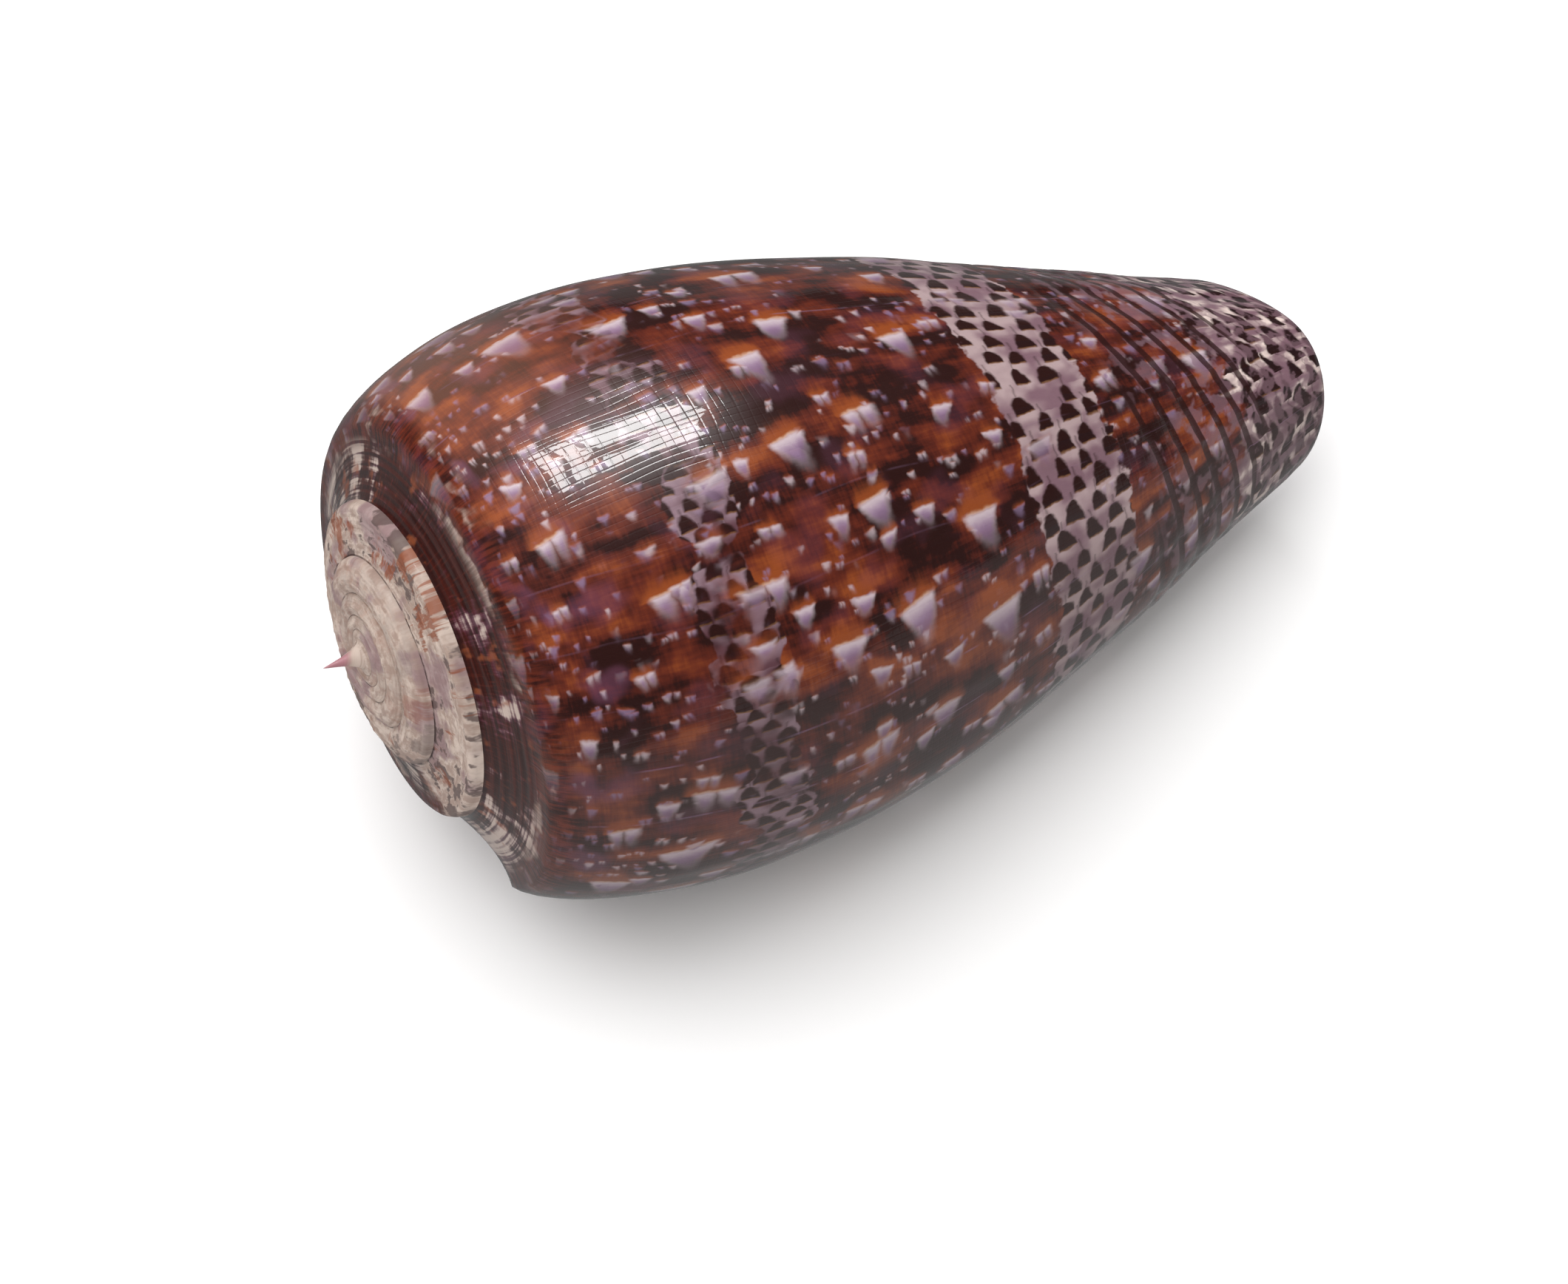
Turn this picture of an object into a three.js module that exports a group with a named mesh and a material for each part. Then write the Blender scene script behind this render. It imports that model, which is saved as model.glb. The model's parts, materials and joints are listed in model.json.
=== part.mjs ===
// A cone shell, lying on its aperture with the spire to the left and the anterior end to the right.
// One continuous body: the outer surface is a profile that grows as it turns about the coiling
// axis, and the inner surface leaves an open spiral hollow behind the outer lip.
// Millimetres, +Z up, the shell rests on z = 0 and its box is centred on the origin.

import * as THREE from 'three';
import { mergeVertices } from 'three/addons/utils/BufferGeometryUtils.js';

const fullTurn = Math.PI * 2;

// Growth. Angles are in radians from the outer lip, which is at 0, and run back to the apex.
const lipAngle = 1.817;            // where the outer lip stands about the axis
const crestRadius = 14.27;         // shoulder crest at the lip
const crestGrowth = 1.53;          // crest radius grows by this factor each turn
const bodyGrowth = 1.33;           // body radius grows by this factor each turn
const bodyDescent = 3.37;          // the body moves this far along the axis each half turn
const spireTurns = 5.5;            // turns of spire above the last whorl
const hollowAngle = 5.2;           // how far back from the lip the hollow reaches
const hollowTaper = 2.6;           // it narrows to nothing over this angle

// Spire: height along the axis, from the tip, is a pointed nub plus a shallow dish.
const nubHeight = 2.25;
const nubRadius = 0.34;
const nubPower = 1.25;              // how sharply the nub narrows from its foot
const spireDish = 0.0228;
const sutureOut = 1.038;           // the suture lies this far out, in crest radii of the turn before
const sutureDrop = 0.085;          // and this far below that turn's crest, in the same radii
const rampBend = 1.78;             // how soon the ramp levels out towards the crest

// Last whorl, at the lip.
const widestRadius = 17.27;
const widestAt = 19.97;
const shoulderReach = 0.45;        // share of the way out to the widest place, at the crest
const shoulderRise = 1;            // how far the shoulder has dropped there
const shoulderLength = 0.5;        // share of the shoulder that is nearly parallel to the axis
const bodyReach = 12.8;            // how long the sides stay full below the widest place
const tipReach = 9;
const tipFlare = 3.4;

// Anterior rim.
const rimRadius = 6.2;
const rimPeak = -1.83;             // growth angle at which the rim stands furthest forward
const rimAt = 56.35;
const lipCut = 1.18;               // how fast the rim falls back towards the lip
const backCut = 1.84;              // how fast it falls back on the far side
const backDrop = 5.5;
const columellaRise = 2.6;
const columellaNarrow = 0.5;
const rimOval = 0.334;
const rimOvalTurn = 0.252;

// Wall and mesh.
const wall = 1.1;
const lipWall = 0.6;
const lipRound = 0.2;              // how far the rounded edge stands out
const stepsPerTurn = 36;
const edgeRows = 2;                // faces across the lip and across the anterior rim
const sutureStation = 0.07;        // place on a whorl's side where the next whorl is attached
const innerStation = 0.12;         // place where the hollow of the next whorl starts
const innerRamp = -0.85;           // place under the ramp where the lining of the hollow starts
const widestStation = 0.25;

// Rest pose, in degrees: the coiling axis dips towards its anterior end, and the body is turned
// about the axis until the aperture faces down.
const axisDip = 10.05;
const bodyTurn = 210.6;
const restWear = 0.18;              // depth worn off where the shell rests

const clamp = (x) => Math.min(Math.max(x, 0), 1);
const smooth = (x) => clamp(x) ** 2 * (3 - 2 * clamp(x));
const easeOut = (x) => clamp(x) * (2 - clamp(x));

const bezier = (p, t) => {
  const u = 1 - t;
  return u ** 3 * p[0] + 3 * u * u * t * p[1] + 3 * u * t * t * p[2] + t ** 3 * p[3];
};

// Crest of the whorl at a growth angle: radius and place along the axis.
function crest(angle) {
  const radius = crestRadius * crestGrowth ** (angle / fullTurn);
  const nub = nubHeight * (1 - Math.exp(-((radius / nubRadius) ** nubPower)));
  return [radius, nub + spireDish * radius * radius];
}

// Anterior rim at a growth angle.
function rim(angle) {
  const d = angle - rimPeak;
  const slope = bodyDescent / Math.PI;
  const fall = backDrop * (1 - Math.exp(-(slope * Math.abs(d) + backCut * d * d) / backDrop));
  const ahead = d > 0 ? slope * d - lipCut * d * d : -fall;
  const inward = smooth((-3.2 - angle) / 2.8);
  const oval = 1 - rimOval * Math.cos(angle + lipAngle + rimOvalTurn);
  const radius = rimRadius * bodyGrowth ** (angle / fullTurn) * oval;
  return [radius * (1 - columellaNarrow * inward), rimAt + ahead + columellaRise * inward];
}

// Side of a whorl below its crest, t from 0 at the crest to 1 at the anterior rim.
// Early whorls drop steeply from the crest, and the last whorl's shoulder is round.
function side(angle, t) {
  const [radius, height] = crest(angle);
  const growth = bodyGrowth ** (angle / fullTurn);
  const wide = widestRadius * growth;
  const wideAt = widestAt + (bodyDescent * angle) / Math.PI;
  if (t > widestStation) {
    const u = (t - widestStation) / (1 - widestStation);
    const [endRadius, endAt] = rim(angle);
    return [
      bezier([wide, wide, endRadius + tipFlare * growth, endRadius], u),
      bezier([wideAt, wideAt + bodyReach, endAt - tipReach, endAt], u),
    ];
  }
  const u = t / widestStation;
  const round = [
    bezier([radius, radius + (wide - radius) * shoulderReach, wide, wide], u),
    bezier([height, height + shoulderRise, wideAt - (wideAt - height) * shoulderLength, wideAt], u),
  ];
  const foot = [radius * sutureOut, height + radius * sutureDrop];
  let steep;
  if (t <= sutureStation) {
    const v = t / sutureStation;
    const w = 1 - v;
    const bendRadius = radius + 0.85 * (foot[0] - radius);
    const bendHeight = height + 0.15 * (foot[1] - height);
    steep = [
      w * w * radius + 2 * w * v * bendRadius + v * v * foot[0],
      w * w * height + 2 * w * v * bendHeight + v * v * foot[1],
    ];
  } else {
    const v = (t - sutureStation) / (widestStation - sutureStation);
    steep = [
      bezier([foot[0], foot[0] + 0.12 * (wide - foot[0]), wide, wide], v),
      bezier([foot[1], foot[1] + 0.25 * (wideAt - foot[1]), wideAt - 0.4 * (wideAt - foot[1]), wideAt], v),
    ];
  }
  const blend = smooth((angle + fullTurn) / 2.4);
  return [
    steep[0] + (round[0] - steep[0]) * blend,
    steep[1] + (round[1] - steep[1]) * blend,
  ];
}

// Whole outer profile: t from -1 at the suture to 0 at the crest, then down the side.
function outer(angle, t) {
  if (t >= 0) return side(angle, t);
  const start = side(angle - fullTurn, sutureStation);
  const end = crest(angle);
  const u = 1 + t;
  return [
    start[0] + (end[0] - start[0]) * u,
    start[1] + (end[1] - start[1]) * (1 - (1 - u) ** rampBend),
  ];
}

// Inner face of the last whorl, beside the place t on the side of the whorl before. Down to the
// widest place it also lines the ramp, so it starts at innerRamp on the outer profile.
function inner(angle, t) {
  const before = side(angle - fullTurn, t);
  const left = clamp((widestStation - t) / (widestStation - innerStation));
  const beside = Math.max(t, widestStation) - (widestStation - innerRamp) * left ** 2.4;
  const here = outer(angle, beside);
  const behind = outer(angle, Math.max(beside - 0.01, -1));
  const ahead = outer(angle, Math.min(beside + 0.01, 1));
  const run = Math.hypot(ahead[0] - behind[0], ahead[1] - behind[1]);
  const thick = lipWall + (wall - lipWall) * smooth(-angle / 0.5);
  const face = [
    here[0] - (thick * (ahead[1] - behind[1])) / run,
    here[1] + (thick * (ahead[0] - behind[0])) / run,
  ];
  const open = easeOut((hollowAngle + angle) / hollowTaper) * easeOut((t - innerStation) / 0.09);
  return [
    before[0] + (face[0] - before[0]) * open,
    before[1] + (face[1] - before[1]) * open,
  ];
}

// Puts a profile point on its growth angle: x and y lie across the axis, z runs from the apex.
function place([radius, along], angle) {
  const turn = angle + lipAngle;
  return new THREE.Vector3(radius * Math.cos(turn), radius * Math.sin(turn), along);
}

const step = fullTurn / stepsPerTurn;
const hollowSteps = Math.round(hollowAngle / step);
const hollowEnd = -hollowSteps * step;
const apexAngle = -fullTurn * (1 + spireTurns);

const spread = (from, to, count) =>
  Array.from({ length: count + 1 }, (_, i) => from + ((to - from) * i) / count);
const angleSteps = (from, to) => spread(from, to, Math.round((to - from) / step));

// Rows of points down a profile: the ramp, the strip that the next whorl covers, and the side.
const spireStations = [...spread(-1, 0, 4), sutureStation];
const attachStations = spread(sutureStation, innerStation, edgeRows);
const shoulderRows = 8;
const wallStations = [
  ...spread(innerStation, widestStation, shoulderRows),
  ...spread(widestStation, 1, 12).slice(1),
];
const lastStations = [...spireStations, ...attachStations.slice(1), ...wallStations.slice(1)];

const triangles = [];

function addTriangle(a, b, c, flip) {
  if (a.equals(b) || b.equals(c) || c.equals(a)) return;
  triangles.push(a, ...(flip ? [c, b] : [b, c]));
}

// Joins a grid of points, rows[i][j], into triangles, turned over where flip is true.
function addGrid(rows, flip) {
  for (let i = 0; i + 1 < rows.length; i += 1) {
    for (let j = 0; j + 1 < rows[i].length; j += 1) {
      addTriangle(rows[i][j], rows[i + 1][j], rows[i + 1][j + 1], flip);
      addTriangle(rows[i][j], rows[i + 1][j + 1], rows[i][j + 1], flip);
    }
  }
}

// Joins a closed loop of points to one point.
function addFan(loop, tip, flip) {
  loop.forEach((point, i) => addTriangle(point, loop[(i + 1) % loop.length], tip, flip));
}

const sheet = (angles, stations, profile) =>
  angles.map((angle) => stations.map((t) => place(profile(angle, t), angle)));

// Outer surface: the spire, then the last whorl.
addGrid(sheet(angleSteps(apexAngle, -fullTurn), spireStations, outer), false);
addGrid(sheet(angleSteps(-fullTurn, 0), lastStations, outer), false);

// Hollow: the side of the whorl before, and the inner face of the last whorl.
const wallStart = hollowEnd - fullTurn;
addGrid(sheet(angleSteps(wallStart, -fullTurn), wallStations, outer), false);
addGrid(sheet(angleSteps(hollowEnd, 0), wallStations, inner), true);

// Anterior rim, rounded from its outer edge (s = 0) to its inner edge (s = 1).
function rimPoint(angle, s) {
  const from = place(outer(angle, 1), angle);
  const to = place(inner(angle, 1), angle);
  const round = lipRound * Math.sin(Math.PI * s);
  return from.lerp(to, s).add(new THREE.Vector3(0, 0, round));
}

// Lip, rounded in the same way. It starts on the suture and ends on the anterior rim, and its
// inner edge has fewer points than its outer edge.
const lipRows = lastStations.length - 1;
const widestRow = lastStations.indexOf(widestStation);

function lipPoint(j, s) {
  if (j === 0) {
    const t = attachStations[Math.round(s * edgeRows)];
    return place(outer(-fullTurn, t), -fullTurn);
  }
  if (j === lipRows) return rimPoint(0, s);
  const innerRow = Math.round(Math.min(j / widestRow, 1) * shoulderRows) + Math.max(j - widestRow, 0);
  const from = place(outer(0, lastStations[j]), 0);
  const to = place(inner(0, wallStations[innerRow]), 0);
  const round = lipRound * Math.sin(Math.PI * s);
  const forward = new THREE.Vector3(-Math.sin(lipAngle), Math.cos(lipAngle), 0);
  return from.lerp(to, s).addScaledVector(forward, round);
}

const edgeSteps = spread(0, 1, edgeRows);
addGrid(edgeSteps.map((s) => lastStations.map((_, j) => lipPoint(j, s))), false);
addGrid(angleSteps(hollowEnd, 0).map((angle) => edgeSteps.map((s) => rimPoint(angle, s))), false);

// Anterior end, closed across the columella where there is no hollow.
const columellaLoop = angleSteps(wallStart, hollowEnd).map((angle) => place(outer(angle, 1), angle));
columellaLoop.push(...edgeSteps.slice(1, -1).map((s) => rimPoint(hollowEnd, s)));
const columellaTip = new THREE.Vector3(0, 0, rim(-fullTurn)[1] - 0.5);
addFan(columellaLoop, columellaTip, false);

// Nub at the apex.
const nubLoop = angleSteps(apexAngle, apexAngle + fullTurn).map((angle) => place(outer(angle, -1), angle));
nubLoop.push(...spireStations.slice(1, -1).reverse().map((t) => place(outer(apexAngle, t), apexAngle)));
addFan(nubLoop, new THREE.Vector3(0, 0, 0), true);

const soup = new THREE.BufferGeometry().setFromPoints(triangles);
const geometry = mergeVertices(soup, 1e-3);

// Laid on its aperture. The lowest places, on the back of the last whorl and on the lip, are worn flat.
const turned = new THREE.Matrix4().makeRotationZ(THREE.MathUtils.degToRad(bodyTurn));
const laid = new THREE.Matrix4().makeRotationY(THREE.MathUtils.degToRad(90 + axisDip));
geometry.applyMatrix4(laid.multiply(turned));
geometry.computeBoundingBox();
const { min, max } = geometry.boundingBox;
geometry.translate(-(min.x + max.x) / 2, -(min.y + max.y) / 2, -min.z - restWear);
const position = geometry.getAttribute('position');
for (let i = 0; i < position.count; i += 1) {
  position.setZ(i, Math.max(position.getZ(i), 0));
}
geometry.computeVertexNormals();

const porcelain = new THREE.MeshStandardMaterial({ color: 0x6b3328, roughness: 0.3, metalness: 0 });
const shell = new THREE.Mesh(geometry, porcelain);
shell.name = 'shell';

const part = new THREE.Group();
part.add(shell);

export default part;
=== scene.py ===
import json
import math

import bpy
from mathutils import Matrix, Vector

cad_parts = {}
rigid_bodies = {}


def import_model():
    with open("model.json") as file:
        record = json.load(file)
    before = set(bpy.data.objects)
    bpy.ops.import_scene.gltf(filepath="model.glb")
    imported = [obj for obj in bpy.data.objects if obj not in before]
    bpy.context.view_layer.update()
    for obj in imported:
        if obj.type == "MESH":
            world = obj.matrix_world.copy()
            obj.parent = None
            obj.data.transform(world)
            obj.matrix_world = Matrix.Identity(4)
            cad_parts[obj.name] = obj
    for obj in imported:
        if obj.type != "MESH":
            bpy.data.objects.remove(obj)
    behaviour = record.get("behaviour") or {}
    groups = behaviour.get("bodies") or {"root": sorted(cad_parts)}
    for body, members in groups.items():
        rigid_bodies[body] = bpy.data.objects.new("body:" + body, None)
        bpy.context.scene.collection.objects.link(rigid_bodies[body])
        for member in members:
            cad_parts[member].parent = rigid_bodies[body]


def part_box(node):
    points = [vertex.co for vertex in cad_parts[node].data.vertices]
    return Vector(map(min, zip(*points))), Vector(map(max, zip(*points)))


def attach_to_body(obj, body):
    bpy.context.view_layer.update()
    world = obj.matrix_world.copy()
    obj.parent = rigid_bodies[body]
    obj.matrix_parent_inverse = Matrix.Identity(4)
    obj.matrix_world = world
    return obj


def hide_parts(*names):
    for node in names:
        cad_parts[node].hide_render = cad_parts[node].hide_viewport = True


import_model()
for item in [o for o in bpy.data.objects if o.name in ("Cube", "Light", "Camera")]:
    bpy.data.objects.remove(item)  # the startup file's own objects


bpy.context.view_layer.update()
shellNode = "shell"
print("frame loaded")


# arithmetic on node sockets, for the growth trees and the material
class nodeValue:
    def __init__(self, tree, socket):
        self.tree = tree
        self.socket = socket

    def __add__(self, other):
        return calc(self.tree, "ADD", self, other)

    def __radd__(self, other):
        return calc(self.tree, "ADD", other, self)

    def __sub__(self, other):
        return calc(self.tree, "SUBTRACT", self, other)

    def __rsub__(self, other):
        return calc(self.tree, "SUBTRACT", other, self)

    def __mul__(self, other):
        return calc(self.tree, "MULTIPLY", self, other)

    def __rmul__(self, other):
        return calc(self.tree, "MULTIPLY", other, self)

    def __truediv__(self, other):
        return calc(self.tree, "DIVIDE", self, other)

    def __pow__(self, other):
        return calc(self.tree, "POWER", self, other)

    def __rpow__(self, other):
        return calc(self.tree, "POWER", other, self)


def feed(tree, value, socket):
    if isinstance(value, nodeValue):
        tree.links.new(value.socket, socket)
    elif value is not None:
        socket.default_value = value


def calc(tree, operation, *values):
    node = tree.nodes.new("ShaderNodeMath")
    node.operation = operation
    for value, socket in zip(values, node.inputs):
        feed(tree, value, socket)
    return nodeValue(tree, node.outputs[0])


def remap(value, fromLow, fromHigh, toLow=0.0, toHigh=1.0, curve="LINEAR"):
    node = value.tree.nodes.new("ShaderNodeMapRange")
    node.interpolation_type = curve
    for item, socket in zip((value, fromLow, fromHigh, toLow, toHigh), node.inputs):
        feed(value.tree, item, socket)
    return nodeValue(value.tree, node.outputs[0])


def smoothRemap(value, fromLow, fromHigh, toLow=0.0, toHigh=1.0):
    return remap(value, fromLow, fromHigh, toLow, toHigh, "SMOOTHSTEP")


def blend(low, high, amount):
    return amount * (high - low) + low


def least(a, b):
    return calc(a.tree, "MINIMUM", a, b)


def most(a, b):
    return calc(a.tree, "MAXIMUM", a, b)


def vector(tree, x, y, z):
    node = tree.nodes.new("ShaderNodeCombineXYZ")
    for value, socket in zip((x, y, z), node.inputs):
        feed(tree, value, socket)
    return nodeValue(tree, node.outputs[0])


def vectorCalc(tree, operation, *values, scale=None):
    node = tree.nodes.new("ShaderNodeVectorMath")
    node.operation = operation
    for value, socket in zip(values, node.inputs):
        feed(tree, value, socket)
    if scale is not None:
        feed(tree, scale, node.inputs[3])
    return nodeValue(tree, node.outputs[0])


def noise(tree, place, scale, detail=2.0, roughness=0.5):
    node = tree.nodes.new("ShaderNodeTexNoise")
    feed(tree, place, node.inputs["Vector"])
    node.inputs["Scale"].default_value = scale
    node.inputs["Detail"].default_value = detail
    node.inputs["Roughness"].default_value = roughness
    return nodeValue(tree, node.outputs["Fac"])


def bezier(points, amount):
    rest = 1.0 - amount
    a, b, c, d = points
    return (rest * rest * (rest * a + 3.0 * amount * b)
            + amount * amount * (3.0 * rest * c + amount * d))


# the growth rule: a profile that grows as it turns about the coiling axis
fullTurn = 2 * math.pi

# sizes in millimetres, angles in radians back from the outer lip
growth = {
    "Lip angle": 1.817,
    "Crest radius": 14.27,
    "Crest growth": 1.53,
    "Body growth": 1.33,
    "Body descent": 3.37,
    "Nub height": 2.25,
    "Nub radius": 0.34,
    "Nub power": 1.25,
    "Spire dish": 0.0228,
    "Suture out": 1.038,
    "Suture drop": 0.085,
    "Ramp bend": 1.78,
    "Widest radius": 17.27,
    "Widest at": 19.97,
    "Shoulder reach": 0.45,
    "Shoulder rise": 1.0,
    "Shoulder length": 0.5,
    "Body reach": 12.8,
    "Tip reach": 9.0,
    "Tip flare": 3.4,
    "Rim radius": 6.2,
    "Rim peak": -1.83,
    "Rim at": 56.35,
    "Lip cut": 1.18,
    "Back cut": 1.84,
    "Back drop": 5.5,
    "Columella rise": 2.6,
    "Columella narrow": 0.5,
    "Rim oval": 0.334,
    "Rim oval turn": 0.252,
    "Wall": 1.1,
    "Lip wall": 0.6,
    "Lip round": 0.2,
    "Hollow angle": 3.4,
    "Hollow taper": 2.0,
    "Early step": 0.2,
    "Cord height": 0.08,
    "Lump height": 0.5,
    "Scar height": 0.09,
    "Scar turn": 0.43,
    "Early round": 0.075,
    "Worn run": 14.77,
    "Worn height": 0.35,
}
# places down a profile: -1 suture, 0 crest, 1 anterior rim
stations = {"suture": 0.07, "inner": 0.12, "ramp": -0.85, "widest": 0.25, "cords": 0.69}
rows = {"turn": 288, "ramp": 10, "crest": 3, "edge": 3, "shoulder": 22, "middle": 44, "body": 92, "cap": 6}
spireTurns = 5.5
apexAngle = -fullTurn * (1 + spireTurns)
tipAngle = apexAngle - 4.0
cords = {"spacing": 1.6, "slope": 1.95, "half": 0.34, "start": (36.4, 38.2), "end": (48.0, 45.0)}


# mm along the profile from the crest, and mm round the body for each radian of growth
profileRun = {"ramp": -5.2, "widest": 13.5, "end": 52.5}
bodyRun = 17.0


def alongOf(station):
    widest = stations["widest"]
    return (remap(station, -1.0, 0.0, profileRun["ramp"], 0.0)
            + remap(station, 0.0, widest, 0.0, profileRun["widest"])
            + remap(station, widest, 1.0, 0.0, profileRun["end"] - profileRun["widest"]))


def grooveOf(tree, along, angle):
    # spiral grooves before the anterior end, deepest at 1
    spacing = cords["spacing"]
    turn = calc(tree, "FRACT", (along - cords["slope"] * angle) / spacing)
    depth = smoothRemap(calc(tree, "ABSOLUTE", turn - 0.5) * spacing, cords["half"], 0.08)
    ends = smoothRemap(along, *cords["start"]) * smoothRemap(along, *cords["end"])
    return depth * ends


def newTree(name, inputs, outputs, sizes=True):
    tree = bpy.data.node_groups.new(name, "GeometryNodeTree")
    for label in inputs:
        tree.interface.new_socket(label, in_out="INPUT", socket_type="NodeSocketFloat")
    if sizes:
        for label, value in growth.items():
            socket = tree.interface.new_socket(label, in_out="INPUT",
                                               socket_type="NodeSocketFloat")
            socket.default_value = value
    for label, kind in outputs.items():
        tree.interface.new_socket(label, in_out="OUTPUT", socket_type=kind)
    entry = tree.nodes.new("NodeGroupInput")
    given = {s.name: nodeValue(tree, s) for s in entry.outputs if s.name}
    return tree, given, tree.nodes.new("NodeGroupOutput")


def useTree(inner, given, **fields):
    first = next(iter(given.values()))
    node = first.tree.nodes.new("GeometryNodeGroup")
    node.node_tree = inner
    for socket in node.inputs:
        label = socket.name
        value = fields.get(label.replace(" ", ""), given.get(label))
        feed(first.tree, value, socket)
    return [nodeValue(first.tree, s) for s in node.outputs]


def finishTree(tree, exit, values):
    for value, socket in zip(values, exit.inputs):
        feed(tree, value, socket)
    return tree


radiusAlong = {"Radius": "NodeSocketFloat", "Along": "NodeSocketFloat"}


def spireHeight(tree, g, radius):
    # a pointed nub on a shallow dish
    nub = 1.0 - calc(tree, "EXPONENT", -1.0 * (radius / g["Nub radius"]) ** g["Nub power"])
    return g["Nub height"] * nub + g["Spire dish"] * radius * radius


def crestTree():
    tree, g, exit = newTree("whorlCrest", ["Angle"], radiusAlong)
    radius = g["Crest radius"] * g["Crest growth"] ** (g["Angle"] / fullTurn)
    return finishTree(tree, exit, [radius, spireHeight(tree, g, radius)])


def rimTree():
    tree, g, exit = newTree("anteriorRim", ["Angle"], radiusAlong)
    angle = g["Angle"]
    away = angle - g["Rim peak"]
    behind = calc(tree, "ABSOLUTE", away)
    slope = g["Body descent"] / math.pi
    fall = g["Back drop"] * (calc(tree, "EXPONENT", -1.0 * (slope * behind + g["Back cut"] * away * away)
                                  / g["Back drop"]) - 1.0)
    ahead = slope * away - g["Lip cut"] * away * away
    pastPeak = calc(tree, "GREATER_THAN", away, 0.0)
    inward = smoothRemap(angle, -3.2, -6.0)
    oval = 1.0 - g["Rim oval"] * calc(tree, "COSINE", angle + g["Lip angle"] + g["Rim oval turn"])
    radius = g["Rim radius"] * g["Body growth"] ** (angle / fullTurn) * oval
    radius = radius * (1.0 - g["Columella narrow"] * inward)
    along = g["Rim at"] + blend(fall, ahead, pastPeak) + g["Columella rise"] * inward
    return finishTree(tree, exit, [radius, along])


def sideTree(crest, rim):
    tree, g, exit = newTree("whorlSide", ["Angle", "Station"], radiusAlong)
    angle, t = g["Angle"], g["Station"]
    radius, height = useTree(crest, g)
    growthHere = g["Body growth"] ** (angle / fullTurn)
    wide = g["Widest radius"] * growthHere
    wideAt = g["Widest at"] + g["Body descent"] * angle / math.pi
    endRadius, endAt = useTree(rim, g)
    below = remap(t, stations["widest"], 1.0)
    low = [bezier((wide, wide, endRadius + g["Tip flare"] * growthHere, endRadius), below),
           bezier((wideAt, wideAt + g["Body reach"], endAt - g["Tip reach"], endAt), below)]
    above = remap(t, 0.0, stations["widest"])
    drop = wideAt - height
    round = [bezier((radius, radius + (wide - radius) * g["Shoulder reach"], wide, wide), above),
             bezier((height, height + g["Shoulder rise"], wideAt - drop * g["Shoulder length"],
                     wideAt), above)]
    step = smoothRemap(angle, -25.0, -12.5, g["Early step"], 1.0)
    foot = [radius * (1.0 + (g["Suture out"] - 1.0) * step), height + radius * g["Suture drop"] * step]
    v = remap(t, 0.0, stations["suture"])
    w = 1.0 - v
    roll = [w * w * radius + 2.0 * w * v * blend(radius, foot[0], 0.85) + v * v * foot[0],
            w * w * height + 2.0 * w * v * blend(height, foot[1], 0.15) + v * v * foot[1]]
    v = remap(t, stations["suture"], stations["widest"])
    fallTo = wideAt - foot[1]
    flank = [bezier((foot[0], foot[0] + 0.12 * (wide - foot[0]), wide, wide), v),
             bezier((foot[1], foot[1] + 0.25 * fallTo, wideAt - 0.4 * fallTo, wideAt), v)]
    pastFoot = calc(tree, "GREATER_THAN", t, stations["suture"])
    rounding = smoothRemap(angle, -fullTurn, 2.4 - fullTurn)
    pastWidest = calc(tree, "GREATER_THAN", t, stations["widest"])
    both = []
    for i in range(2):
        steep = blend(roll[i], flank[i], pastFoot)
        both.append(blend(blend(steep, round[i], rounding), low[i], pastWidest))
    return finishTree(tree, exit, both)


def outerTree(crest, side):
    tree, g, exit = newTree("whorlOutside", ["Angle", "Station"], radiusAlong)
    below = useTree(side, g)
    start = useTree(side, g, Angle=g["Angle"] - fullTurn, Station=stations["suture"])
    end = useTree(crest, g)
    u = remap(g["Station"], -1.0, 0.0)
    ramp = [blend(start[0], end[0], u),
            blend(start[1], end[1], 1.0 - (1.0 - u) ** g["Ramp bend"])]
    onSide = calc(tree, "GREATER_THAN", g["Station"], 0.0)
    return finishTree(tree, exit, [blend(ramp[i], below[i], onSide) for i in range(2)])


def innerTree(side, outer):
    tree, g, exit = newTree("whorlInside", ["Angle", "Station"], radiusAlong)
    angle, t = g["Angle"], g["Station"]
    before = useTree(side, g, Angle=angle - fullTurn)
    left = remap(t, stations["widest"], stations["inner"])
    reach = stations["widest"] - stations["ramp"]
    beside = most(t, stations["widest"]) - reach * left ** 2.4
    here = useTree(outer, g, Station=beside)
    back = useTree(outer, g, Station=most(beside - 0.01, -1.0))
    front = useTree(outer, g, Station=least(beside + 0.01, 1.0))
    dr, da = front[0] - back[0], front[1] - back[1]
    run = calc(tree, "SQRT", dr * dr + da * da)
    thick = blend(g["Lip wall"], g["Wall"], smoothRemap(angle, 0.0, -0.5))
    face = [here[0] - thick * da / run, here[1] + thick * dr / run]

    def ease(x):
        return x * (2.0 - x)
    open = (ease(remap((g["Hollow angle"] + angle) / g["Hollow taper"], 0.0, 1.0))
            * ease(remap(t, stations["inner"], stations["inner"] + 0.09)))
    return finishTree(tree, exit, [blend(before[i], face[i], open) for i in range(2)])


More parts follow.
